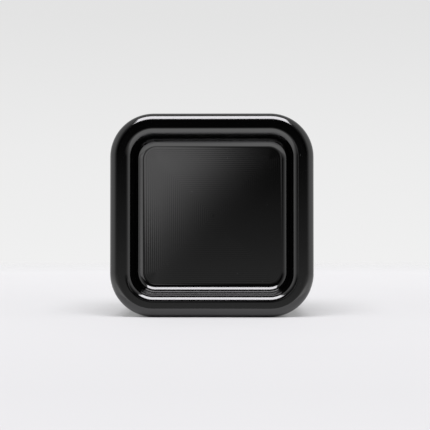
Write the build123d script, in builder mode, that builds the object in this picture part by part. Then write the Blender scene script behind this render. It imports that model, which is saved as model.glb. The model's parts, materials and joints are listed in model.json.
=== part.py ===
"""Square machined specimen jar, lying on one flat side with its dished lid towards -Y.

Millimetres, +Z up, the jar's own axis along Y. The origin is the centre of the side that the jar
rests on. A depth is counted from the lid's front rim towards the base, which faces +Y.
"""

import os

from build123d import *

# overall form
jar_width = 56.0
jar_depth = 42.0
corner_radius = 12.0
edge_radius = 2.5
seam_chamfer = 0.4
seam_gap = 0.05
base_pad_proud = 0.3

# lid: flange, dish and plug
flange_depth = 9.0
dish_width = 43.7
dish_depth = 12.4
lip_radius = 2.1
cove_radius = 2.5
plug_land_width = 48.7
plug_land_end = 10.4
plug_nose_width = 48.0
plug_end = 15.4
plug_lead_in = 0.4

# lid: seal groove, seal ring and cap liner
groove_end = 12.1
groove_floor_width = 46.4
seal_section = 1.15
cap_liner_recess = 0.5
cap_liner_thickness = 1.0
cap_liner_width = 46.2
cap_liner_edge = 0.2

# body: cavity, base and base pad
cavity_width = 48.9
cavity_floor = 39.0
cavity_mouth_chamfer = 0.3
cavity_floor_radius = 1.5
base_pad_width = 42.0
base_pad_recess = 0.8
base_pad_edge = 0.25
pad_fit_gap = 0.1

# closing magnets, one pair behind each corner of the rim
magnet_diameter = 2.0
magnet_length = 2.0
magnet_bore_clearance = 0.02
magnet_edge = 0.15
magnet_offset = 23.22

# glass liner, the two bands that centre it and the cushion that it stands on
liner_front = 16.1
liner_back = 38.4
liner_width = 47.3
liner_wall = 1.8
liner_rim_radius = 0.7
liner_outer_radius = 2.4
liner_inner_radius = 2.0
band_width = 2.4
band_starts = {"liner_band_front": 19.0, "liner_band_rear": 32.8}
band_edge = 0.2
cushion_width = 42.0
cushion_edge = 0.15

# specimen pad on the floor of the glass liner
specimen_pad_thickness = 4.5
specimen_pad_gap = 0.15
specimen_pad_crown = 1.2
specimen_pad_foot = 2.1

# the jar's rim, halfway up, with its normal running back along the jar's axis
rim_y = -(jar_depth + base_pad_proud) / 2
rim_plane = Plane(origin=(0, rim_y, jar_width / 2), x_dir=(1, 0, 0), z_dir=(0, 1, 0))

body_front = flange_depth + seam_gap
liner_floor = liner_back - liner_wall


def square_at(depth, width):
    """Rounded square at a depth, whose corners share the centres of the jar's own corners."""
    radius = corner_radius - (jar_width - width) / 2
    with BuildSketch(rim_plane.offset(depth)) as outline:
        RectangleRounded(width, width, radius)
    return outline.sketch


def magnet_circles(depth, diameter):
    """Four circles at a depth, one behind each corner of the rim."""
    with BuildSketch(rim_plane.offset(depth)) as circles:
        with GridLocations(2 * magnet_offset, 2 * magnet_offset, 2, 2):
            Circle(diameter / 2)
    return circles.sketch


def front_face(piece):
    """The flat face nearest the rim."""
    return piece.faces().filter_by(Axis.Y).sort_by(Axis.Y)[0]


def back_face(piece):
    """The flat face nearest the base."""
    return piece.faces().filter_by(Axis.Y).sort_by(Axis.Y)[-1]


def edges_at(piece, depth):
    """Every edge that lies at one depth."""
    margin = 0.001
    place = rim_y + depth
    return piece.edges().filter_by_position(Axis.Y, place - margin, place + margin)


# Lid: a flange that covers the jar's rim, a hollow plug behind it, and a dish that fills the plug.
with BuildPart() as lid_shell:
    extrude(square_at(0, jar_width), amount=flange_depth)
    chamfer(back_face(lid_shell).outer_wire().edges(), seam_chamfer)
    extrude(square_at(flange_depth, plug_land_width), amount=plug_land_end - flange_depth)
    extrude(square_at(plug_land_end, groove_floor_width), amount=groove_end - plug_land_end)
    extrude(square_at(groove_end, plug_nose_width), amount=plug_end - groove_end)
    chamfer(back_face(lid_shell).outer_wire().edges(), plug_lead_in)
    recess_width = cap_liner_width + 2 * pad_fit_gap
    recess_start = plug_end - cap_liner_recess
    extrude(square_at(recess_start, recess_width), amount=cap_liner_recess, mode=Mode.SUBTRACT)
    extrude(square_at(0, dish_width), amount=dish_depth, mode=Mode.SUBTRACT)
    fillet(edges_at(lid_shell, dish_depth), cove_radius)
    fillet(front_face(lid_shell).inner_wires()[0].edges(), lip_radius)
    fillet(front_face(lid_shell).outer_wire().edges(), edge_radius)
    bore = magnet_diameter + 2 * magnet_bore_clearance
    extrude(
        magnet_circles(flange_depth - magnet_length, bore),
        amount=magnet_length,
        mode=Mode.SUBTRACT,
    )

# Seal ring: a round cord that sits on the groove's floor and stands proud of the plug's nose.
seal_path_width = groove_floor_width + seal_section
seal_path = square_at((plug_land_end + groove_end) / 2, seal_path_width).face().outer_wire()
with BuildPart() as lid_seal_ring:
    with BuildSketch(Plane(origin=seal_path @ 0, z_dir=seal_path % 0)):
        Circle(seal_section / 2)
    sweep(path=seal_path)

# Cap liner: the soft sheet, half sunk in the plug's end, that closes on the glass.
with BuildPart() as cap_liner:
    extrude(square_at(plug_end - cap_liner_recess, cap_liner_width), amount=cap_liner_thickness)
    fillet(back_face(cap_liner).outer_wire().edges(), cap_liner_edge)

# Body: a square cup with a recess in its base for the rubber pad.
with BuildPart() as body_shell:
    extrude(square_at(body_front, jar_width), amount=jar_depth - body_front)
    chamfer(front_face(body_shell).outer_wire().edges(), seam_chamfer)
    fillet(back_face(body_shell).outer_wire().edges(), edge_radius)
    extrude(
        square_at(body_front, cavity_width),
        amount=cavity_floor - body_front,
        mode=Mode.SUBTRACT,
    )
    fillet(edges_at(body_shell, cavity_floor), cavity_floor_radius)
    chamfer(front_face(body_shell).inner_wires()[0].edges(), cavity_mouth_chamfer)
    extrude(
        square_at(jar_depth - base_pad_recess, base_pad_width + 2 * pad_fit_gap),
        amount=base_pad_recess,
        mode=Mode.SUBTRACT,
    )
    extrude(magnet_circles(body_front, bore), amount=magnet_length, mode=Mode.SUBTRACT)

# Base pad: rubber, bedded in the base and just proud of it.
with BuildPart() as base_pad:
    extrude(
        square_at(jar_depth - base_pad_recess, base_pad_width),
        amount=base_pad_recess + base_pad_proud,
    )
    fillet(back_face(base_pad).outer_wire().edges(), base_pad_edge)

# Glass liner: a square cup with a rounded rim and rounded foot.
with BuildPart() as glass_liner:
    extrude(square_at(liner_front, liner_width), amount=liner_back - liner_front)
    fillet(back_face(glass_liner).outer_wire().edges(), liner_outer_radius)
    extrude(
        square_at(liner_front, liner_width - 2 * liner_wall),
        amount=liner_floor - liner_front,
        mode=Mode.SUBTRACT,
    )
    fillet(edges_at(glass_liner, liner_floor), liner_inner_radius)
    fillet(front_face(glass_liner).edges(), liner_rim_radius)

# Cushion: a thin silicone sheet between the glass and the cavity's floor.
with BuildPart() as liner_cushion:
    extrude(square_at(liner_back, cushion_width), amount=cavity_floor - liner_back)
    fillet(back_face(liner_cushion).outer_wire().edges(), cushion_edge)

# Specimen pad: a soft bed that fills the bottom of the glass.
specimen_pad_width = liner_width - 2 * liner_wall - 2 * specimen_pad_gap
with BuildPart() as specimen_pad:
    extrude(
        square_at(liner_floor - specimen_pad_thickness, specimen_pad_width),
        amount=specimen_pad_thickness,
    )
    fillet(front_face(specimen_pad).outer_wire().edges(), specimen_pad_crown)
    fillet(back_face(specimen_pad).outer_wire().edges(), specimen_pad_foot)

pieces = {
    "lid_shell": lid_shell.part,
    "lid_seal_ring": lid_seal_ring.part,
    "cap_liner": cap_liner.part,
    "body_shell": body_shell.part,
    "base_pad": base_pad.part,
    "glass_liner": glass_liner.part,
    "liner_cushion": liner_cushion.part,
    "specimen_pad": specimen_pad.part,
}

# Bands: two silicone rings that hold the glass in the middle of the cavity.
for band_name, band_start in band_starts.items():
    with BuildPart() as band:
        extrude(square_at(band_start, cavity_width), amount=band_width)
        extrude(square_at(band_start, liner_width), amount=band_width, mode=Mode.SUBTRACT)
        fillet(front_face(band).edges() + back_face(band).edges(), band_edge)
    pieces[band_name] = band.part

# Magnets: a disc in each bore, flush with the faces that meet at the seam.
magnet_starts = {"lid_magnet": flange_depth - magnet_length, "body_magnet": body_front}
for magnet_name, magnet_start in magnet_starts.items():
    for number, circle in enumerate(magnet_circles(magnet_start, magnet_diameter).faces(), 1):
        with BuildPart() as magnet:
            extrude(circle, amount=magnet_length)
            chamfer(magnet.edges().filter_by(GeomType.CIRCLE), magnet_edge)
        pieces[f"{magnet_name}_{number}"] = magnet.part

os.makedirs("parts", exist_ok=True)
for name, piece in pieces.items():
    piece.label = name
    export_step(piece, f"parts/{name}.step")
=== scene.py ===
"""Looks of the square specimen jar: machined shells, glass, silicone, cloth, and the studio round it.

Metres in the scene; the section sizes below are in millimetres. The jar lies on one flat side with
its dished lid towards -Y. A section is drawn as (half, depth): half is the distance from the jar's
axis to a side, and depth is counted from the lid's rim towards the base.
"""

import json
import math

import bpy
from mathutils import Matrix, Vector, noise
from mathutils.geometry import tessellate_polygon

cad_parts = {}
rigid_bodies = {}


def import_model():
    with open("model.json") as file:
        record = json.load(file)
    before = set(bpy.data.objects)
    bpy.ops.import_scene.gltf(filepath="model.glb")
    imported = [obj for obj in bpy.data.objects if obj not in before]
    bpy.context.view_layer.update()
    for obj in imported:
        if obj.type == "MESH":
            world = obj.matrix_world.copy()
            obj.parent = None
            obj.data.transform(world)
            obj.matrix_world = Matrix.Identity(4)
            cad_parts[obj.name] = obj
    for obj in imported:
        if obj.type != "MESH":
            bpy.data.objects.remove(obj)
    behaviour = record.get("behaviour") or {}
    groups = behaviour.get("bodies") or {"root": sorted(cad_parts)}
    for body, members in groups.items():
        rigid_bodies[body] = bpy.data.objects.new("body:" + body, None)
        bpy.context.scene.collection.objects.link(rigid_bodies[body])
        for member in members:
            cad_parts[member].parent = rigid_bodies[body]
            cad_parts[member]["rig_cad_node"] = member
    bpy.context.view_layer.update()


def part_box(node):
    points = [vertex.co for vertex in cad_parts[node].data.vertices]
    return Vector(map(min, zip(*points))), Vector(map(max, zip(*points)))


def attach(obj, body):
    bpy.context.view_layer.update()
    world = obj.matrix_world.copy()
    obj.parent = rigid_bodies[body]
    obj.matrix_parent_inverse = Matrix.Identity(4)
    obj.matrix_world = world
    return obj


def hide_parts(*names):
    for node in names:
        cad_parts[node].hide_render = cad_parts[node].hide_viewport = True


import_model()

MM = 0.001
QUARTER = math.pi / 2

# places and outer sizes taken from the frame, in metres where they are boxes, else in millimetres
lid_low, lid_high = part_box("lid_shell")
body_low, body_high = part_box("body_shell")
liner_low, liner_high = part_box("glass_liner")

rim_y = lid_low.y
axis_z = (lid_low.z + lid_high.z) / 2
jar_half = lid_high.x / MM
corner_radius = 12.0
corner_centre = jar_half - corner_radius

plug_end = (lid_high.y - rim_y) / MM
body_front = (body_low.y - rim_y) / MM
body_back = (body_high.y - rim_y) / MM
liner_front = (liner_low.y - rim_y) / MM
liner_back = (liner_high.y - rim_y) / MM
liner_half = liner_high.x / MM

# lid, in millimetres; a depth is counted from the rim and a half is half of a square's width
flange_depth = 9.0
dish_half = 21.85
dish_depth = 12.4
cove_radius = 2.5
lip_radius = 2.1
edge_radius = 2.5
edge_break = 0.1
seam_chamfer = 0.4
plug_land_half = 24.35
plug_land_end = 10.4
groove_half = 23.2
groove_end = 12.1
plug_nose_half = 24.0
plug_lead_in = 0.4
cap_recess_half = 23.2
cap_recess = 0.5

# marks that the cutters leave in the dish
cutter_pitch = 0.55
cutter_slope = 0.036
wall_pitch = 0.6
wall_scallop = 0.11
scallop_radius = 0.4
crest_radius = 0.02

# closure
bore_offset = 23.22
bore_radius = 1.02
bore_depth = 2.0
seal_half = 23.775
seal_depth = 11.25
seal_radius = 0.575
cap_liner_half = 23.1
cap_liner_proud = 0.5

# body and what it holds
cavity_half = 24.45
cavity_floor = 39.0
cavity_floor_radius = 1.5
mouth_chamfer = 0.3
base_recess_half = 21.1
base_recess = 0.8
base_pad_half = 21.0
base_pad_proud = 0.3
glass_wall = 1.8
glass_rim_radius = 0.7
glass_inner_radius = 2.0
glass_outer_radius = 2.4
band_edge = 0.2
cushion_half = 21.0
cushion_edge = 0.15

# the small square in the middle of a flat, where a section that runs to the axis ends
hub_half = 0.3


# ------------------------------------------------------------------ mesh making

def fillet_arc(before, corner, after, radius, steps):
    """Points and normals of the arc that rounds a corner of a section."""
    back = (Vector(before) - Vector(corner)).normalized()
    ahead = (Vector(after) - Vector(corner)).normalized()
    half_turn = math.acos(max(-1.0, min(1.0, back.dot(ahead)))) / 2
    reach = radius / math.tan(half_turn)
    centre = Vector(corner) + (back + ahead).normalized() * (radius / math.sin(half_turn))
    start = Vector(corner) + back * reach - centre
    end = Vector(corner) + ahead * reach - centre
    turn = math.atan2(start.cross(end), start.dot(end))
    spokes = []
    for step in range(steps + 1):
        angle = turn * step / steps
        spoke = Vector((
            start.x * math.cos(angle) - start.y * math.sin(angle),
            start.x * math.sin(angle) + start.y * math.cos(angle),
        ))
        normal = spoke.normalized() * (1 if turn > 0 else -1)
        spokes.append((centre + spoke, normal))
    return spokes


def section(corners, steps=10):
    """Stretches of a section, each a pair of (point, normal), from corners (half, depth, radius).

    A corner without a radius is sharp.
    The material lies to the right of the way that the section runs, so its normals point left of
    a line drawn with half to the right and depth downwards.
    """
    flat = [(c[0], c[1]) for c in corners]
    turns = []
    for i, corner in enumerate(corners):
        radius = corner[2] if len(corner) > 2 else 0
        if radius and 0 < i < len(corners) - 1:
            turns.append(fillet_arc(flat[i - 1], flat[i], flat[i + 1], radius, steps))
        else:
            turns.append([(Vector(flat[i]), None)])
    stretches = []
    for here, there in zip(turns, turns[1:]):
        stretches += list(zip(here, here[1:]))
        run = there[0][0] - here[-1][0]
        normal = Vector((run.y, -run.x)).normalized()
        stretches.append(((here[-1][0], normal), (there[0][0], normal)))
    return stretches


class Surface:
    """Faces gathered with a normal for every corner, so that flats and fillets shade exactly."""

    def __init__(self, corner_steps=20):
        shares = [s / corner_steps for s in range(corner_steps + 1)]
        self.angles = [QUARTER * (corner + share) for corner in range(4) for share in shares]
        self.per_corner = corner_steps + 1
        self.points = []
        self.faces = []
        self.normals = []
        self.rings = {}

    def ring(self, half, depth):
        """Indices of a rounded square's points; a square without round corners repeats its four."""
        key = (round(half, 6), round(depth, 6))
        if key not in self.rings:
            radius = max(0.0, half - corner_centre)
            straight = half - radius
            indices = []
            for j, angle in enumerate(self.angles):
                corner = j // self.per_corner
                if radius == 0 and j % self.per_corner:
                    indices.append(indices[-1])
                    continue
                side_x = 1 if corner in (0, 3) else -1
                side_z = 1 if corner in (0, 1) else -1
                x = side_x * straight + radius * math.cos(angle)
                z = side_z * straight + radius * math.sin(angle)
                indices.append(self.add(x, z, depth))
            self.rings[key] = indices
        return self.rings[key]

    def add(self, x, z, depth):
        """Index of a new point, given in millimetres from the jar's axis and rim."""
        self.points.append((x * MM, rim_y + depth * MM, axis_z + z * MM))
        return len(self.points) - 1

    def face(self, indices, normals):
        """One face, with repeated points left out."""
        kept = [k for k in range(len(indices)) if indices[k] != indices[k - 1]]
        if len(kept) > 2:
            self.faces.append([indices[k] for k in kept])
            self.normals += [normals[k] for k in kept]

    def around(self, j, normal):
        """A section's normal, turned to where point j stands on the rings."""
        angle = self.angles[j]
        return (normal[0] * math.cos(angle), normal[1], normal[0] * math.sin(angle))

    def strip(self, first, second, first_normal, second_normal):
        """Faces between two rings."""
        count = len(first)
        for j in range(count):
            k = (j + 1) % count
            self.face(
                [first[j], second[j], second[k], first[k]],
                [
                    self.around(j, first_normal),
                    self.around(j, second_normal),
                    self.around(k, second_normal),
                    self.around(k, first_normal),
                ],
            )

    def loft(self, stretches, bored_depth=math.inf):
        """Strips along a whole section. The flat at bored_depth is made with the corner bores."""
        no_length = 1e-7
        same_depth = 1e-5
        for (start, start_normal), (end, end_normal) in stretches:
            if (start - end).length < no_length:
                continue
            if max(abs(start.y - bored_depth), abs(end.y - bored_depth)) < same_depth:
                wide, narrow = max(start.x, end.x), min(start.x, end.x)
                self.plate(wide, narrow, start.y, end.x < start.x)
                continue
            first, second = self.ring(start.x, start.y), self.ring(end.x, end.y)
            self.strip(first, second, start_normal, end_normal)

    def cap(self, half, depth, faces_back):
        """A flat face inside one ring."""
        ring = self.ring(half, depth)
        if faces_back:
            ring = ring[::-1]
        self.face(ring, [(0, 1 if faces_back else -1, 0)] * len(ring))

    def plate(self, outer, inner, depth, faces_back):
        """A flat between two rings, with a magnet's blind bore sunk in each of its corners."""
        loops = [list(dict.fromkeys(self.ring(half, depth))) for half in (outer, inner)]
        bores = [(x * bore_offset, z * bore_offset) for x in (-1, 1) for z in (-1, 1)]
        for x, z in bores:
            loops.append(self.circle(x, z, bore_radius, depth))
        flat = [[Vector(self.points[i]).xz.to_3d() for i in loop] for loop in loops]
        lookup = [i for loop in loops for i in loop]
        facing = 1 if faces_back else -1
        for triangle in tessellate_polygon(flat):
            indices = [lookup[i] for i in triangle]
            a, b, c = (Vector(self.points[i]) for i in indices)
            if (b - a).cross(c - a).y * facing < 0:
                indices.reverse()
            self.face(indices, [(0, facing, 0)] * 3)
        for (x, z), mouth in zip(bores, loops[2:]):
            self.bore(x, z, depth - facing * bore_depth, facing, mouth)

    def circle(self, x, z, radius, depth, steps=40):
        """Indices of a new circle's points."""
        turn = 2 * math.pi / steps
        return [
            self.add(x + radius * math.cos(turn * s), z + radius * math.sin(turn * s), depth)
            for s in range(steps)
        ]

    def bore(self, x, z, floor, facing, mouth):
        """The wall and floor of one blind bore, below the circle that is its mouth."""
        foot = self.circle(x, z, bore_radius, floor, len(mouth))
        turn = 2 * math.pi / len(mouth)
        for s in range(len(mouth)):
            t = (s + 1) % len(mouth)
            quad = [mouth[s], mouth[t], foot[t], foot[s]]
            inward = [(-math.cos(turn * k), 0, -math.sin(turn * k)) for k in (s, s + 1, s + 1, s)]
            if facing > 0:
                quad.reverse()
                inward.reverse()
            self.face(quad, inward)
        self.face(foot[::-1] if facing > 0 else foot, [(0, facing, 0)] * len(foot))

    def build(self, name, material):
        """The finished piece, with its own normals."""
        mesh = bpy.data.meshes.new(name)
        mesh.from_pydata(self.points, [], self.faces)
        mesh.polygons.foreach_set("use_smooth", [True] * len(mesh.polygons))
        mesh.materials.append(material)
        mesh.normals_split_custom_set(self.normals)
        mesh.update()
        piece = bpy.data.objects.new(name, mesh)
        bpy.context.scene.collection.objects.link(piece)
        return piece


# ------------------------------------------------------------------ material making

class Nodes:
    """Helpers on a node tree. Values given to them are numbers, tuples or other nodes' outputs."""

    def __init__(self, tree):
        self.tree = tree

    def feed(self, socket, value):
        """Links a socket to an output, or sets it to a plain value."""
        if isinstance(value, bpy.types.NodeSocket):
            self.tree.links.new(value, socket)
        elif value is not None:
            socket.default_value = value

    def node(self, kind, *values, **settings):
        """A new node, its settings made and its first inputs fed in their order."""
        node = self.tree.nodes.new(kind)
        for label, value in settings.items():
            setattr(node, label, value)
        for socket, value in zip(node.inputs, values):
            self.feed(socket, value)
        return node

    def math(self, operation, a, b=None):
        return self.node("ShaderNodeMath", a, b, operation=operation).outputs[0]

    def length(self, a, b):
        """Length of the hypotenuse over two sides."""
        squares = self.math("ADD", self.math("MULTIPLY", a, a), self.math("MULTIPLY", b, b))
        return self.math("SQRT", squares)

    def place(self):
        """Position in the jar's frame, in metres."""
        return self.node("ShaderNodeTexCoord").outputs["Object"]

    def split(self, vector):
        return self.node("ShaderNodeSeparateXYZ", vector).outputs

    def noise(self, scale, vector=None, detail=2.0, rough=0.5, along=None):
        """Noise over space, or along one number when that is given."""
        node = self.node("ShaderNodeTexNoise")
        if along is not None:
            node.noise_dimensions = "1D"
            self.feed(node.inputs["W"], along)
        else:
            self.feed(node.inputs["Vector"], vector if vector is not None else self.place())
        node.inputs["Scale"].default_value = scale
        node.inputs["Detail"].default_value = detail
        node.inputs["Roughness"].default_value = rough
        return node.outputs["Fac"]

    def remap(self, value, low, high, to_low=0.0, to_high=1.0, smooth=False):
        """A value stretched from one range to another and held at the ends."""
        kind = "SMOOTHSTEP" if smooth else "LINEAR"
        node = self.node("ShaderNodeMapRange", interpolation_type=kind)
        for label, number in zip(
            ("Value", "From Min", "From Max", "To Min", "To Max"),
            (value, low, high, to_low, to_high),
        ):
            self.feed(node.inputs[label], number)
        return node.outputs[0]

    def blend(self, factor, first, second):
        """Mix of two colours."""
        node = self.node("ShaderNodeMix", data_type="RGBA")
        self.feed(node.inputs["Factor"], factor)
        colours = [s for s in node.inputs if s.type == "RGBA"]
        self.feed(colours[0], first)
        self.feed(colours[1], second)
        return next(s for s in node.outputs if s.type == "RGBA")

    def bump(self, height, distance, strength, over=None):
        """A bumped normal, laid over another one when that is given."""
        node = self.node("ShaderNodeBump")
        node.inputs["Strength"].default_value = strength
        node.inputs["Distance"].default_value = distance
        self.feed(node.inputs["Height"], height)
        if over is not None:
            self.feed(node.inputs["Normal"], over)
        return node.outputs["Normal"]

    def square_place(self):
        """(half, depth) of the shaded point in millimetres, as the sections count them."""
        x, y, z = self.split(self.place())
        across = self.math("MULTIPLY", self.math("ABSOLUTE", x), 1 / MM)
        up = self.math("ABSOLUTE", self.math("MULTIPLY", self.math("SUBTRACT", z, axis_z), 1 / MM))
        over_x = self.math("SUBTRACT", across, corner_centre)
        over_z = self.math("SUBTRACT", up, corner_centre)
        out_x = self.math("MAXIMUM", over_x, 0.0)
        out_z = self.math("MAXIMUM", over_z, 0.0)
        outside = self.length(out_x, out_z)
        inside = self.math("MINIMUM", self.math("MAXIMUM", over_x, over_z), 0.0)
        half = self.math("ADD", self.math("ADD", outside, inside), corner_centre)
        depth = self.math("MULTIPLY", self.math("SUBTRACT", y, rim_y), 1 / MM)
        return half, depth


class Material(Nodes):
    """A node material round one shader."""

    def __init__(self, name, **inputs):
        self.data = bpy.data.materials.new(name)
        self.data.use_nodes = True
        super().__init__(self.data.node_tree)
        self.shader = self.tree.nodes["Principled BSDF"]
        for label, value in inputs.items():
            self.set(label.replace("_", " "), value)

    def set(self, label, value):
        """Sets or links one of the shader's own sockets, found by its label in any case."""
        socket = next(s for s in self.shader.inputs if s.name.lower() == label.lower())
        self.feed(socket, value)


def anodised(name):
    """Fine-milled aluminium dyed black: a dark glossy skin with cutter lines that follow the square."""
    m = Material(name, ior=1.8, metallic=0.0)
    half, depth = m.square_place()
    normal = m.node("ShaderNodeNewGeometry").outputs["Normal"]
    facing = m.math("ABSOLUTE", m.split(normal)[1])
    on_flat = m.remap(facing, 0.6, 0.8, smooth=True)
    flat_lines = m.noise(3.2, along=half, detail=3.0, rough=0.65)
    side_lines = m.noise(4.5, along=depth, detail=3.0, rough=0.65)
    lines = m.math(
        "ADD",
        m.math("MULTIPLY", flat_lines, on_flat),
        m.math("MULTIPLY", side_lines, m.math("SUBTRACT", 1.0, on_flat)),
    )
    grain = m.noise(6000.0, rough=0.6)
    smudge = m.noise(95.0, detail=3.0, rough=0.55)
    speck_cells = m.node("ShaderNodeTexVoronoi", feature="F1")
    m.feed(speck_cells.inputs["Vector"], m.place())
    speck_cells.inputs["Scale"].default_value = 700.0
    speck_size = m.remap(m.split(speck_cells.outputs["Color"])[0], 0.8, 1.0, 0.0, 0.055)
    speck = m.math("LESS_THAN", speck_cells.outputs["Distance"], speck_size)
    dye = m.blend(smudge, (0.0001, 0.0001, 0.00012, 1), (0.0005, 0.0005, 0.00055, 1))
    m.set("base color", m.blend(speck, dye, (0.16, 0.16, 0.165, 1)))
    milled = m.math("ADD", m.remap(smudge, 0.3, 0.7, 0.05, 0.08), m.remap(lines, 0.3, 0.7, -0.01, 0.01))
    rounded = m.math("MULTIPLY", m.remap(facing, 1.0, 0.95), m.remap(facing, 0.1, 0.4, 0.0, 0.05))
    skin = m.math("ADD", milled, rounded)
    m.set("roughness", m.math("MAXIMUM", skin, m.math("MULTIPLY", speck, 0.7)))
    rough_normal = m.bump(grain, 0.0000015, 0.06)
    m.set("normal", m.bump(lines, 0.0000012, 0.2, over=rough_normal))
    return m.data


# ------------------------------------------------------------------ shells

def cutter_rings(start, end, depth, pitch, slope):
    """Shallow scallops that a cutter leaves on a flat, one for each pass round the square."""
    dip = slope * pitch / 4
    passes = round((end - start) / pitch)
    pitch = (end - start) / passes
    crest_in = Vector((slope, -1)).normalized()
    crest_out = Vector((-slope, -1)).normalized()
    stretches = []
    for n in range(passes):
        here = start + n * pitch
        valley = (Vector((here + pitch / 2, depth + dip)), Vector((0, -1)))
        stretches.append(((Vector((here, depth)), crest_in), valley))
        stretches.append((valley, (Vector((here + pitch, depth)), crest_out)))
    return stretches


def wall_scallops(start, end):
    """Corners of the scallops that a round-nosed cutter leaves up the dish's wall."""
    passes = round((start - end) / wall_pitch)
    pitch = (start - end) / passes
    corners = [(dish_half, start)]
    for n in range(passes):
        foot = start - n * pitch
        corners.append((dish_half + wall_scallop, foot - pitch / 2, scallop_radius))
        corners.append((dish_half, foot - pitch, crest_radius))
    return corners


def make_lid():
    """Flange, dish and plug in one skin: cutter marks on the dish's floor, scallops up its wall."""
    surface = Surface()
    centre_half = cutter_pitch / 2
    recess_floor = plug_end - cap_recess
    floor_margin = 0.01
    wall_margin = 0.05
    floor_end = dish_half - cove_radius - floor_margin
    cove_end = dish_depth - cove_radius - wall_margin
    wall_end = lip_radius + wall_margin
    surface.cap(centre_half, dish_depth, faces_back=False)
    surface.loft(cutter_rings(centre_half, floor_end, dish_depth, cutter_pitch, cutter_slope))
    cove = [(floor_end, dish_depth), (dish_half, dish_depth, cove_radius), (dish_half, cove_end)]
    surface.loft(section(cove, steps=24))
    surface.loft(section(wall_scallops(cove_end, wall_end), steps=4))
    outline = [
        (dish_half, wall_end),
        (dish_half, 0, lip_radius),
        (jar_half, 0, edge_radius),
        (jar_half, flange_depth - seam_chamfer, edge_break),
        (jar_half - seam_chamfer, flange_depth, edge_break),
        (plug_land_half, flange_depth),
        (plug_land_half, plug_land_end, edge_break),
        (groove_half, plug_land_end),
        (groove_half, groove_end),
        (plug_nose_half, groove_end, edge_break),
        (plug_nose_half, plug_end - plug_lead_in, edge_break),
        (plug_nose_half - plug_lead_in, plug_end, edge_break),
        (cap_recess_half, plug_end, edge_break / 2),
        (cap_recess_half, recess_floor),
        (centre_half, recess_floor),
    ]
    surface.loft(section(outline, steps=16), bored_depth=flange_depth)
    surface.cap(centre_half, recess_floor, faces_back=True)
    lid = surface.build("lid_machined", anodised("black_anodised_lid"))
    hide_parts("lid_shell")
    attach(lid, "lid")


def make_body():
    """Square cup: cavity, rim with its magnet bores, outside, and the recess for the base pad."""
    surface = Surface()
    recess_floor = body_back - base_recess
    surface.cap(hub_half, cavity_floor, faces_back=False)
    outline = [
        (hub_half, cavity_floor),
        (cavity_half, cavity_floor, cavity_floor_radius),
        (cavity_half, body_front + mouth_chamfer),
        (cavity_half + mouth_chamfer, body_front),
        (jar_half - seam_chamfer, body_front, edge_break),
        (jar_half, body_front + seam_chamfer, edge_break),
        (jar_half, body_back, edge_radius),
        (base_recess_half, body_back, edge_break),
        (base_recess_half, recess_floor),
        (hub_half, recess_floor),
    ]
    surface.loft(section(outline, steps=12), bored_depth=body_front)
    surface.cap(hub_half, recess_floor, faces_back=True)
    body = surface.build("body_machined", anodised("black_anodised_body"))
    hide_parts("body_shell")
    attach(body, "jar")


# ------------------------------------------------------------------ closure and inside

def moulded(name, dark, light, rough_low, rough_high, grain_scale, grain_depth, **inputs):
    """Rubber, silicone or sheet: uneven colour and sheen, fine grain, and a little dust."""
    m = Material(name, **inputs)
    clouds = m.noise(160.0, detail=4.0, rough=0.6)
    grain = m.noise(grain_scale, detail=3.0, rough=0.7)
    dust = m.remap(m.noise(2600.0, detail=1.0), 0.7, 0.78)
    body = m.blend(m.remap(clouds, 0.3, 0.7), dark, light)
    m.set("base color", m.blend(m.math("MULTIPLY", dust, 0.12), body, (0.5, 0.49, 0.47, 1)))
    m.set("roughness", m.remap(clouds, 0.3, 0.7, rough_low, rough_high))
    m.set("normal", m.bump(grain, grain_depth, 0.6))
    return m.data


def nickel():
    """Bright plating with fine turning rings and a faint warm patchiness."""
    m = Material("nickel_plate", metallic=1.0)
    x, y, z = m.split(m.place())
    centre = bore_offset * MM
    off_x = m.math("SUBTRACT", m.math("ABSOLUTE", x), centre)
    off_z = m.math("SUBTRACT", m.math("ABSOLUTE", m.math("SUBTRACT", z, axis_z)), centre)
    rings = m.noise(14000.0, along=m.length(off_x, off_z))
    patches = m.noise(900.0, detail=3.0)
    m.set("base color", m.blend(patches, (0.6, 0.56, 0.5, 1), (0.72, 0.69, 0.64, 1)))
    m.set("roughness", m.remap(rings, 0.3, 0.7, 0.18, 0.32))
    m.set("normal", m.bump(rings, 0.000002, 0.4))
    return m.data


def plate_magnets():
    """Gives the frame's own magnets their plating."""
    plate = nickel()
    for node in bpy.context.scene.objects:
        if "_magnet_" in node.name and "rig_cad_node" in node:
            for holder in node.material_slots:
                holder.material = plate


def cord_section(half, depth, radius, steps, mould_line=0.0):
    """Closed round section; a mould line stands proud along its outer and inner sides."""
    spokes = []
    for step in range(steps + 1):
        angle = 2 * math.pi * step / steps
        spoke = Vector((math.cos(angle), math.sin(angle)))
        proud = mould_line if step % (steps // 2) == 0 else 0.0
        spokes.append((Vector((half, depth)) + spoke * (radius + proud), spoke))
    return list(zip(spokes, spokes[1:]))


def make_seal_ring():
    """Round black cord in the plug's groove."""
    surface = Surface()
    surface.loft(cord_section(seal_half, seal_depth, seal_radius, steps=36, mould_line=0.012))
    black = moulded(
        "seal_rubber_black", (0.012, 0.012, 0.013, 1), (0.03, 0.03, 0.032, 1),
        0.38, 0.55, 5200.0, 0.000006,
    )
    ring = surface.build("seal_cord", black)
    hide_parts("lid_seal_ring")
    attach(ring, "lid")


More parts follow.
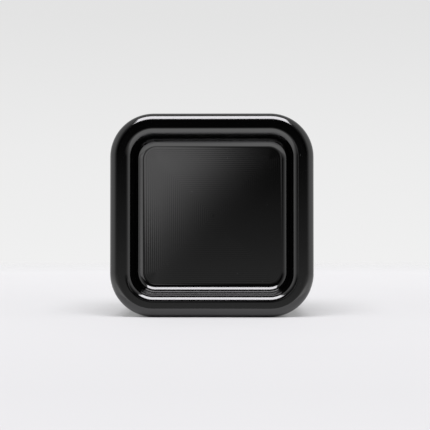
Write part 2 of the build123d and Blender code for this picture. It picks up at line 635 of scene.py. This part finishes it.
def make_cap_liner():
    """White faced sheet, with the faint ring that the glass rim has pressed into it."""
    surface = Surface()
    front, back = plug_end - cap_recess, plug_end + cap_liner_proud
    dent_floor = back - 0.06
    outline = [
        (hub_half, front),
        (cap_liner_half, front, 0.1),
        (cap_liner_half, back, 0.2),
        (cap_liner_half - 0.12, back, 0.05),
        (cap_liner_half - 0.2, dent_floor, 0.1),
        (cap_liner_half - 0.5, dent_floor, 0.1),
        (cap_liner_half - 0.6, back, 0.1),
        (hub_half, back),
    ]
    surface.cap(hub_half, front, faces_back=False)
    surface.loft(section(outline, steps=6))
    surface.cap(hub_half, back, faces_back=True)
    white = moulded(
        "cap_liner_white", (0.7, 0.69, 0.655, 1), (0.81, 0.8, 0.775, 1),
        0.5, 0.7, 3800.0, 0.00001,
    )
    sheet = surface.build("cap_liner_sheet_white", white)
    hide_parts("cap_liner")
    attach(sheet, "lid")


def make_glass():
    """Square pressed glass cup with a fire-polished rim."""
    surface = Surface()
    inner_half = liner_half - glass_wall
    floor = liner_back - glass_wall
    outline = [
        (hub_half, floor),
        (inner_half, floor, glass_inner_radius),
        (inner_half, liner_front, glass_rim_radius),
        (liner_half, liner_front, glass_rim_radius),
        (liner_half, liner_back, glass_outer_radius),
        (hub_half, liner_back),
    ]
    surface.cap(hub_half, floor, faces_back=False)
    surface.loft(section(outline, steps=10))
    surface.cap(hub_half, liner_back, faces_back=True)
    m = Material(
        "pressed_glass", base_color=(0.93, 0.97, 0.955, 1), transmission_weight=1.0, ior=1.5,
    )
    waves = m.noise(150.0, detail=1.0)
    film = m.noise(420.0, detail=4.0, rough=0.65)
    m.set("roughness", m.remap(film, 0.45, 0.75, 0.0, 0.06))
    m.set("normal", m.bump(waves, 0.00006, 0.25))
    glass = surface.build("glass_cup", m.data)
    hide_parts("glass_liner")
    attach(glass, "jar")


def make_bands():
    """Ribbed silicone bands round the glass."""
    silicone = moulded(
        "silicone_grey", (0.52, 0.53, 0.545, 1), (0.66, 0.67, 0.68, 1),
        0.35, 0.5, 4200.0, 0.000006, subsurface_weight=0.2, subsurface_scale=0.001,
    )
    inner, outer, groove = liner_half, cavity_half, cavity_half - 0.2
    ridge_half = 0.4
    for node in ("liner_band_front", "liner_band_rear"):
        low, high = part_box(node)
        start, end = (low.y - rim_y) / MM, (high.y - rim_y) / MM
        middle = (start + end) / 2
        outline = [(inner, middle), (inner, start, band_edge), (outer, start, band_edge)]
        for groove_at in (middle - ridge_half, middle + ridge_half):
            outline += [
                (outer, groove_at - 0.22, 0.08),
                (groove, groove_at - 0.12, 0.08),
                (groove, groove_at + 0.12, 0.08),
                (outer, groove_at + 0.22, 0.08),
            ]
        outline += [(outer, end, band_edge), (inner, end, band_edge), (inner, middle)]
        surface = Surface()
        surface.loft(section(outline, steps=5))
        band = surface.build(node + "_ribbed", silicone)
        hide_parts(node)
        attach(band, "jar")
    make_cushion(silicone)


def make_cushion(silicone):
    """Silicone sheet under the glass, with shallow pressed rings."""
    surface = Surface()
    front, back, edge = liner_back, cavity_floor, cushion_half
    outline = [(hub_half, front)]
    for ring_at in (6.0, 12.0, 18.0):
        outline += [
            (ring_at - 0.5, front, 0.1),
            (ring_at - 0.3, front + 0.15, 0.1),
            (ring_at + 0.3, front + 0.15, 0.1),
            (ring_at + 0.5, front, 0.1),
        ]
    outline += [(edge, front, cushion_edge), (edge, back, cushion_edge), (hub_half, back)]
    surface.cap(hub_half, front, faces_back=False)
    surface.loft(section(outline, steps=4))
    surface.cap(hub_half, back, faces_back=True)
    sheet = surface.build("liner_cushion_ringed", silicone)
    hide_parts("liner_cushion")
    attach(sheet, "jar")


def make_base_pad():
    """Rubber pad in the base, with grip rings pressed into it."""
    surface = Surface()
    front, back, edge = body_back - base_recess, body_back + base_pad_proud, base_pad_half
    outline = [(hub_half, front), (edge, front, 0.1), (edge, back, 0.25)]
    for ring_at in (18.6, 16.2, 13.8, 11.4, 9.0, 6.6, 4.2):
        outline += [
            (ring_at + 0.35, back, 0.08),
            (ring_at + 0.2, back - 0.15, 0.08),
            (ring_at - 0.2, back - 0.15, 0.08),
            (ring_at - 0.35, back, 0.08),
        ]
    outline.append((hub_half, back))
    surface.cap(hub_half, front, faces_back=False)
    surface.loft(section(outline, steps=4))
    surface.cap(hub_half, back, faces_back=True)
    black = moulded(
        "base_rubber_black", (0.018, 0.018, 0.019, 1), (0.034, 0.034, 0.036, 1),
        0.62, 0.82, 6500.0, 0.00002,
    )
    pad = surface.build("base_pad_ringed", black)
    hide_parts("base_pad")
    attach(pad, "jar")


# ------------------------------------------------------------------ padded bed

def cotton():
    """Unbleached plain-weave cotton, with slubs and a soft bloom."""
    m = Material("unbleached_cotton", sheen_weight=0.35, sheen_roughness=0.5, specular_ior_level=0.25)
    thread = 2 * math.pi / 0.00042
    wobble = m.noise(500.0, detail=2.0)
    threads = []
    for part in m.split(m.place()):
        phase = m.math("ADD", m.math("MULTIPLY", part, thread), m.math("MULTIPLY", wobble, 2.5))
        threads.append(m.math("SINE", phase))
    x_thread, y_thread, z_thread = threads
    crossing = m.math(
        "ADD",
        m.math("MULTIPLY", x_thread, z_thread),
        m.math("MULTIPLY", y_thread, m.math("SUBTRACT", x_thread, z_thread)),
    )
    weave = m.remap(crossing, -1.0, 1.0)
    slub = m.noise(1300.0, detail=3.0, rough=0.6)
    clouds = m.noise(110.0, detail=3.0)
    pale = m.blend(clouds, (0.66, 0.61, 0.52, 1), (0.77, 0.73, 0.65, 1))
    shade = m.math("ADD", m.math("MULTIPLY", weave, 0.22), m.math("MULTIPLY", slub, 0.2))
    m.set("base color", m.blend(shade, pale, (0.42, 0.37, 0.3, 1)))
    m.set("roughness", m.remap(slub, 0.2, 0.8, 0.75, 0.95))
    slubbed = m.bump(slub, 0.00006, 0.4)
    m.set("normal", m.bump(weave, 0.00005, 0.6, over=slubbed))
    return m.data


# the pad's cloth is worked at a larger scale, where the simulation behaves
PAD_SCALE = 10.0
VOXEL = 0.006
SWELL_CAP = 0.0062
CLOTH_FRAMES = 20
pad_low, pad_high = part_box("specimen_pad")
pad_centre = (pad_low + pad_high) / 2
pad_front = (pad_low.y - rim_y) / MM
pad_back = (pad_high.y - rim_y) / MM
pad_half = pad_high.x / MM
seam_depth = pad_front + 2.3
piping_inset = 0.62
piping_radius = 0.42


def baked(piece):
    """The piece's mesh with its modifiers applied; the modifiers are then removed."""
    depsgraph = bpy.context.evaluated_depsgraph_get()
    mesh = bpy.data.meshes.new_from_object(piece.evaluated_get(depsgraph), depsgraph=depsgraph)
    piece.modifiers.clear()
    piece.data = mesh


def swell(piece):
    """Fills the pad by a short cloth simulation, its side seam and centre tuft held."""
    seam_reach, seam_band, tuft_reach = 2.4, 0.3, 0.8
    rest = [v.co.copy() for v in piece.data.vertices]
    held = piece.vertex_groups.new(name="held")
    for vertex in piece.data.vertices:
        half = max(abs(vertex.co.x), abs(vertex.co.z)) / (PAD_SCALE * MM)
        depth = (pad_centre.y + vertex.co.y / PAD_SCALE - rim_y) / MM
        at_seam = half > pad_half - seam_reach and abs(depth - seam_depth) < seam_band
        reach = math.hypot(vertex.co.x, vertex.co.z) / (PAD_SCALE * MM)
        at_tuft = reach < tuft_reach and depth < seam_depth
        if at_seam or at_tuft:
            held.add([vertex.index], 1.0, "REPLACE")
    cloth = piece.modifiers.new("fill", "CLOTH")
    cloth.settings.use_pressure = True
    cloth.settings.uniform_pressure_force = 4.0
    cloth.settings.effector_weights.gravity = 0.0
    cloth.settings.vertex_group_mass = "held"
    cloth.settings.quality = 6
    cloth.point_cache.frame_start = 1
    cloth.point_cache.frame_end = CLOTH_FRAMES
    for frame_number in range(1, CLOTH_FRAMES + 1):
        bpy.context.scene.frame_set(frame_number)
    baked(piece)
    for vertex, start in zip(piece.data.vertices, rest):
        move = vertex.co - start
        if move.length > SWELL_CAP:
            vertex.co = start + move.normalized() * SWELL_CAP
    bpy.context.scene.frame_set(1)


def make_pad():
    """Padded bed: remeshed, gathered at its edge, swollen by the cloth, then smoothed."""
    cloth = cotton()
    surface = Surface(corner_steps=10)
    front, back, edge = pad_front + 0.75, pad_back - 0.1, pad_half - 0.85
    outline = [(hub_half, front), (edge, front, 1.5), (edge, back, 2.3), (hub_half, back)]
    surface.cap(hub_half, front, faces_back=False)
    surface.loft(section(outline, steps=6))
    surface.cap(hub_half, back, faces_back=True)
    pad = surface.build("specimen_cushion", cloth)
    for vertex in pad.data.vertices:
        vertex.co = (vertex.co - pad_centre) * PAD_SCALE
    remesh = pad.modifiers.new("voxels", "REMESH")
    remesh.mode = "VOXEL"
    remesh.voxel_size = VOXEL
    baked(pad)
    along, across = 45, 8
    pucker_reach, pucker_full, pucker_depth = 5.0, 3.0, 0.0022
    for vertex in pad.data.vertices:
        spot = Vector((vertex.co.x * along, vertex.co.y * across, vertex.co.z * along))
        half = max(abs(vertex.co.x), abs(vertex.co.z)) / (PAD_SCALE * MM)
        pucker = max(0.0, min(1.0, (half - pad_half + pucker_reach) / pucker_full))
        vertex.co.y += noise.noise(spot) * pucker * pucker_depth
    swell(pad)
    smooth = pad.modifiers.new("smooth", "SUBSURF")
    smooth.levels = smooth.render_levels = 1
    baked(pad)
    foot_gap = 0.02
    rest_plane = (pad_back - foot_gap) * MM + rim_y
    for vertex in pad.data.vertices:
        vertex.co = pad_centre + vertex.co / PAD_SCALE
        vertex.co.y = min(vertex.co.y, rest_plane)
    pad.data.polygons.foreach_set("use_smooth", [True] * len(pad.data.polygons))
    pad.data.materials.clear()
    pad.data.materials.append(cloth)
    pad.data.update()
    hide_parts("specimen_pad")
    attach(pad, "jar")
    make_piping(cloth)
    make_tuft(cloth)


def make_piping(cloth):
    """Corded edging sewn round the pad's side seam."""
    surface = Surface()
    surface.loft(cord_section(pad_half - piping_inset, seam_depth, piping_radius, steps=20))
    piping = surface.build("pad_piping", cloth)
    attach(piping, "jar")


def make_tuft(cloth):
    """Covered button that ties the pad's middle down."""
    radius, height, steps, rows = 1.3, 0.55, 32, 8
    face = pad_front + 0.45
    pole = 0.35
    points, faces = [], []
    for row in range(rows + 1):
        tilt = math.pi * (row + pole) / (rows + 2 * pole)
        for step in range(steps):
            angle = 2 * math.pi * step / steps
            across = radius * math.sin(tilt)
            points.append((
                across * math.cos(angle) * MM,
                rim_y + (face + height - height * math.cos(tilt)) * MM,
                axis_z + across * math.sin(angle) * MM,
            ))
    for row in range(rows):
        for step in range(steps):
            near, far = row * steps, (row + 1) * steps
            after = (step + 1) % steps
            faces.append([near + step, far + step, far + after, near + after])
    faces.append(list(range(steps)))
    faces.append(list(range(rows * steps, (rows + 1) * steps))[::-1])
    button = mesh_piece("pad_button", points, faces, cloth)
    button.data.polygons.foreach_set("use_smooth", [True] * len(faces))
    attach(button, "jar")


# ------------------------------------------------------------------ studio

def mesh_piece(name, points, faces, material):
    """A piece made of plain points, in metres, and faces."""
    mesh = bpy.data.meshes.new(name)
    mesh.from_pydata(points, [], faces)
    mesh.materials.append(material)
    piece = bpy.data.objects.new(name, mesh)
    bpy.context.scene.collection.objects.link(piece)
    return piece


def disc(name, inner, outer, material, steps=96):
    """Flat ring on the table, round the jar; inner 0 gives a whole disc."""
    points = []
    for radius in (inner, outer):
        for s in range(steps):
            angle = 2 * math.pi * s / steps
            points.append((radius * math.cos(angle), radius * math.sin(angle), 0.0))
    if inner:
        faces = [[s, (s + 1) % steps, steps + (s + 1) % steps, steps + s] for s in range(steps)]
        faces = [face[::-1] for face in faces]
    else:
        points = points[steps:]
        faces = [list(range(steps))]
    return mesh_piece(name, points, faces, material)


def make_table():
    """Pale table whose far edge fades out; the part near the jar also shows in the metal. It glows
    faintly, which is painted fill light that lightens its shadows, and the glow fades out close to the
    jar as a painted contact shadow. Its colour is darker towards the camera and paler far behind, which
    is painted shade and painted light.
    """
    m = Material(
        "pale_table", roughness=0.85, specular_ior_level=0.1, emission_color=(1.0, 1.0, 1.005, 1),
    )
    mottle = m.noise(30.0, detail=2.0)
    x, y, z = m.split(m.place())
    # painted shade and painted light: the table's colour is darker towards the camera and paler far
    # behind the jar
    near_tone = m.blend(mottle, (0.355, 0.355, 0.357, 1), (0.367, 0.367, 0.369, 1))
    front_tone = m.blend(m.remap(y, -0.03, -0.16), near_tone, (0.32, 0.32, 0.322, 1))
    m.set("base color", m.blend(m.remap(y, 0.05, 0.3), front_tone, (0.45, 0.45, 0.452, 1)))
    m.set("alpha", m.remap(m.length(x, y), 0.3, 0.55, 1.0, 0.0, smooth=True))
    # painted fill light and painted contact shadow: the table glows up to 0.25, fading to nothing
    # within 6 mm of the jar's footprint
    beside = m.math("SUBTRACT", m.math("ABSOLUTE", x), corner_centre * MM)
    before = m.math("SUBTRACT", rim_y + edge_radius * MM, y)
    from_jar = m.length(m.math("MAXIMUM", beside, 0.0), m.math("MAXIMUM", before, 0.0))
    m.set("emission strength", m.remap(from_jar, 0.0, 0.006, 0.0, 0.25, smooth=True))
    mirrored_reach = 0.045
    near = disc("table_near", 0.0, mirrored_reach, m.data)
    far = disc("table_far", mirrored_reach, 0.56, m.data)
    far.visible_glossy = False


reflection_panel_distance = 0.34


def clear_glow(name):
    """Material that glows in a mirror and hides nothing behind it, with its strength input."""
    m = Material(name)
    glow = m.node("ShaderNodeEmission", (1.0, 0.99, 1.0, 1), 1.0)
    clear = m.node("ShaderNodeBsdfTransparent")
    both = m.node("ShaderNodeAddShader", glow.outputs[0], clear.outputs[0])
    m.tree.links.new(both.outputs[0], m.tree.nodes["Material Output"].inputs["Surface"])
    return m, glow.inputs["Strength"]


def hang_reflection_panel(name, left, right, low, top, material):
    """Upright glowing panel level with the camera, which only mirrors show: it paints a reflection into
    the metal.
    """
    panel_y = rim_y - reflection_panel_distance
    corners = [(left, panel_y, low), (right, panel_y, low), (right, panel_y, top), (left, panel_y, top)]
    painted_reflection_panel = mesh_piece(name, corners, [[3, 2, 1, 0]], material)
    painted_reflection_panel.visible_camera = False
    painted_reflection_panel.visible_diffuse = False
    painted_reflection_panel.visible_shadow = False
    painted_reflection_panel.visible_transmission = False


def make_floor_reflection_panel():
    """A glowing panel beside the camera, which only mirrors show: a painted reflection whose soft
    slanting edge shows in the dish's floor.

    The floor lies deeper than the rim, so the panel lights only rays that have come that far.
    """
    m, strength = clear_glow("painted_floor_reflection_glow")
    x, y, z = m.split(m.place())
    offset = 0.0045
    slant = m.math(
        "ADD",
        m.math("MULTIPLY", m.math("ADD", x, offset), -0.745),
        m.math("MULTIPLY", m.math("SUBTRACT", z, axis_z + offset), 0.667),
    )
    fade = m.remap(slant, 0.002, 0.044, 0.0, 1.04, smooth=True)
    length = m.node("ShaderNodeLightPath").outputs["Ray Length"]
    from_floor = m.math("MULTIPLY", m.remap(length, 0.347, 0.3505), m.remap(length, 0.3585, 0.3555))
    # painted reflection: the glow follows the slanting fade, only for rays from the dish's floor
    m.feed(strength, m.math("MULTIPLY", fade, from_floor))
    hang_reflection_panel("painted_reflection_panel", -0.066, 0.04, axis_z - 0.0355, axis_z + 0.064, m.data)


def make_cove_reflection_panel():
    """A glowing panel to the right, which only mirrors show: a painted reflection in the cove at the
    foot of the dish's left wall.

    It lights only rays that start about as deep as the cove and were mirrored once.
    """
    m, strength = clear_glow("painted_cove_reflection_glow")
    x, y, z = m.split(m.place())
    path = m.node("ShaderNodeLightPath").outputs
    aside = m.math("ADD", x, dish_half * MM)
    squares = m.math(
        "SUBTRACT",
        m.math("MULTIPLY", path["Ray Length"], path["Ray Length"]),
        m.math("MULTIPLY", aside, aside),
    )
    ahead = m.math("SQRT", m.math("MAXIMUM", squares, 0.0))
    from_cove = m.math(
        "MULTIPLY",
        m.remap(ahead, 0.346, 0.3485),
        m.remap(path["Glossy Depth"], 1.0, 2.0, 1.0, 0.0),
    )
    # painted reflection: the glow shows only to once-mirrored rays from about the cove's depth
    m.feed(strength, m.math("MULTIPLY", from_cove, m.remap(x, 0.056, 0.068, 0.0, 0.95)))
    hang_reflection_panel("painted_cove_reflection_panel", 0.056, 0.36, axis_z - 0.05, axis_z + 0.065, m.data)


def make_softbox():
    """The one lamp: a wide softbox high in front of the jar."""
    light = bpy.data.lights.new("softbox", "AREA")
    light.shape = "RECTANGLE"
    far = 1.6
    half_breadth = 0.46
    half_height = math.tan(math.radians(19))
    radiance = 9.0
    light.size = 2 * far * half_breadth
    light.size_y = 2 * far * half_height
    light.energy = radiance * math.pi * light.size * light.size_y
    light.color = (1.0, 0.985, 1.02)
    lamp = bpy.data.objects.new("softbox", light)
    rise = math.radians(63)
    lamp.location = (0, rim_y - far * math.cos(rise), axis_z + far * math.sin(rise))
    aim = Vector((0, rim_y, axis_z)) - lamp.location
    lamp.rotation_euler = aim.to_track_quat("-Z", "Y").to_euler()
    bpy.context.scene.collection.objects.link(lamp)


def make_room():
    """The room as the metal mirrors it: dark behind the camera, pale walls beside and behind."""
    world = bpy.data.worlds.new("studio")
    bpy.context.scene.world = world
    world.use_nodes = True
    m = Nodes(world.node_tree)
    background = m.tree.nodes["Background"]
    way = m.node("ShaderNodeTexCoord").outputs["Generated"]
    x, y, z = m.split(way)
    level = m.math("MAXIMUM", m.length(x, y), 0.001)
    ahead = m.math("DIVIDE", m.math("MULTIPLY", y, -1.0), level)
    front = m.remap(ahead, math.cos(math.radians(70)), math.cos(math.radians(16)), smooth=True)

    def ramp(stops):
        """Grey over the height of a direction, from stops of (degrees above level, brightness)."""
        node = m.node("ShaderNodeValToRGB", m.remap(z, -1.0, 1.0))
        elements = node.color_ramp.elements
        while len(elements) < len(stops):
            elements.new(0.5)
        for element, (angle, value) in zip(elements, stops):
            element.position = (math.sin(math.radians(angle)) + 1) / 2
        for element, (angle, value) in zip(elements, stops):
            element.color = (value, value, value, 1)
        return node.outputs["Color"]

    front_room = ramp([
        (-90, 1.3), (-16, 1.25), (-10, 0.36), (-4, 0.276), (-0.55, 0.135), (0.75, 0.104),
        (2.25, 0.055), (3.75, 0.03), (5.6, 0.01), (60, 0.02), (85, 0.4),
    ])
    side_room = ramp([(-90, 1.0), (-14, 1.0), (-2, 0.7), (25, 0.7), (60, 0.5), (90, 0.4)])
    backdrop = ramp([(-90, 0.9), (-6, 0.9), (-2, 0.875), (4, 0.84), (11, 0.77), (40, 0.8)])
    mirrored = m.blend(front, side_room, front_room)
    path = m.node("ShaderNodeLightPath").outputs
    # painted shade: rays mirrored twice or more see the room dimmed to 0.04, which darkens the dish's
    # walls
    deep = m.remap(path["Glossy Depth"], 1.0, 2.0)
    dimmed = m.blend(deep, mirrored, (0.04, 0.04, 0.04, 1))
    m.feed(background.inputs["Color"], m.blend(path["Is Camera Ray"], dimmed, backdrop))


def make_camera():
    """A short telephoto view of the lid, very nearly square on."""
    camera = bpy.data.cameras.new("camera")
    camera.lens = 93.25
    camera.sensor_width = 36.0
    eye_distance, eye_right, eye_low, target_right = 0.304, 0.005, 0.004, 0.00092
    eye = bpy.data.objects.new("camera", camera)
    eye.location = (eye_right, rim_y - eye_distance, axis_z - eye_low)
    aim = Vector((target_right, rim_y, axis_z)) - eye.location
    eye.rotation_euler = aim.to_track_quat("-Z", "Y").to_euler()
    camera.clip_start = 0.01
    bpy.context.scene.collection.objects.link(eye)
    bpy.context.scene.camera = eye


make_lid()
make_seal_ring()
make_cap_liner()
make_body()
make_glass()
make_bands()
make_base_pad()
make_pad()
plate_magnets()
make_table()
make_floor_reflection_panel()
make_cove_reflection_panel()
make_softbox()
make_room()
make_camera()
bpy.context.scene.view_settings.view_transform = "Standard"
